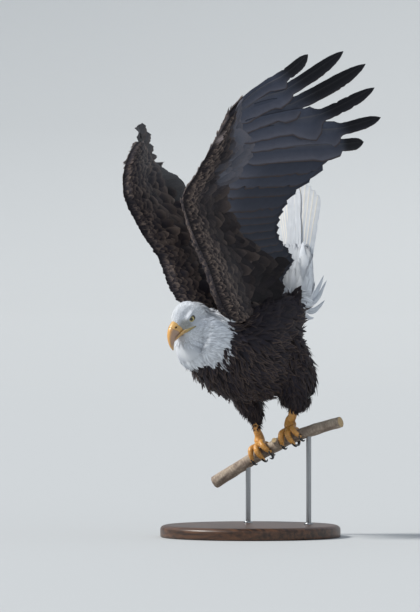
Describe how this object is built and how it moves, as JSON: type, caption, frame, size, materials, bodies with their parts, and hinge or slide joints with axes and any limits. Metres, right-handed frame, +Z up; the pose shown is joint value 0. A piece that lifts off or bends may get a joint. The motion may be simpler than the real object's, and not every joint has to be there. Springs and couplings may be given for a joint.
{
  "type": "bald eagle",
  "caption": "Life-size still model of an adult bald eagle, wings raised to take off, gripping a cut length of branch on a round display stand.",
  "frame": {"origin": "centre of the underside of the stand's base, on the floor", "axes": "+Z up, the bird faces -Y and its left side is +X"},
  "size_m": [0.7403, 0.5383, 1.1603],
  "materials": {
    "brown_feathers": "matte",
    "flight_feathers": "satin",
    "white_feathers": "matte",
    "yellow_horn": "satin",
    "yellow_scales": "satin",
    "black_horn": "gloss",
    "eye": "gloss",
    "bark": "rough",
    "stained_wood": "satin",
    "steel": "brushed"
  },
  "bodies": {
    "root": {"bill_lower": "yellow_horn", "bill_upper": "yellow_horn", "claw_hind_left": "black_horn", "claw_hind_right": "black_horn", "claw_inner_left": "black_horn", "claw_inner_right": "black_horn", "claw_middle_left": "black_horn", "claw_middle_right": "black_horn", "claw_outer_left": "black_horn", "claw_outer_right": "black_horn", "eye_left": "eye", "eye_right": "eye", "forearm_left": "brown_feathers", "forearm_right": "brown_feathers", "hand_left": "brown_feathers", "hand_right": "brown_feathers", "head": "white_feathers", "neck": "white_feathers", "perch": "bark", "primaries_left": "flight_feathers", "primaries_right": "flight_feathers", "primary_10_left": "flight_feathers", "primary_10_right": "flight_feathers", "primary_5_left": "flight_feathers", "primary_5_right": "flight_feathers", "primary_6_left": "flight_feathers", "primary_6_right": "flight_feathers", "primary_7_left": "flight_feathers", "primary_7_right": "flight_feathers", "primary_8_left": "flight_feathers", "primary_8_right": "flight_feathers", "primary_9_left": "flight_feathers", "primary_9_right": "flight_feathers", "secondaries_left": "flight_feathers", "secondaries_right": "flight_feathers", "shank_left": "brown_feathers", "shank_right": "brown_feathers", "stand_base": "stained_wood", "stand_rod_left": "steel", "stand_rod_right": "steel", "tail": "white_feathers", "tail_base": "white_feathers", "tarsus_left": "yellow_scales", "tarsus_right": "yellow_scales", "thigh_left": "brown_feathers", "thigh_right": "brown_feathers", "toe_hind_left": "yellow_scales", "toe_hind_right": "yellow_scales", "toe_inner_left": "yellow_scales", "toe_inner_right": "yellow_scales", "toe_middle_left": "yellow_scales", "toe_middle_right": "yellow_scales", "toe_outer_left": "yellow_scales", "toe_outer_right": "yellow_scales", "trunk": "brown_feathers", "upper_arm_left": "brown_feathers", "upper_arm_right": "brown_feathers"}
  },
  "joints": []
}
